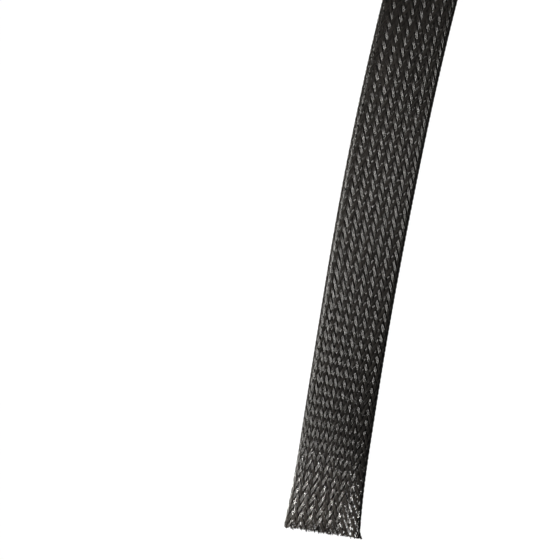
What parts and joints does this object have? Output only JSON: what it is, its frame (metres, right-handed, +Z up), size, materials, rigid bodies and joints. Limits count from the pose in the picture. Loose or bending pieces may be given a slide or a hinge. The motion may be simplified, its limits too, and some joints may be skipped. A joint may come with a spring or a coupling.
{
  "type": "braided cable sleeve",
  "caption": "Flat-lying open-mesh tube of black polyester monofilament, braided in one piece, cut square and slightly flared at both ends; slips over cables to bundle and guard them.",
  "frame": {"origin": "middle of the bounding box in X and Y, on the flat underside that the sleeve lies on", "axes": "+Y along the straight far part of the sleeve, away from the bent end that the picture shows; +Z up, through the flat underside and the arched top; +X across the sleeve"},
  "size_m": [0.0376, 0.5006, 0.0037],
  "materials": {
    "monofilament_braid": "black drawn polyester monofilament, glossy, braided in flat three-end ribbons"
  },
  "bodies": {
    "root": {"braided_sleeve": "monofilament_braid"}
  },
  "joints": []
}
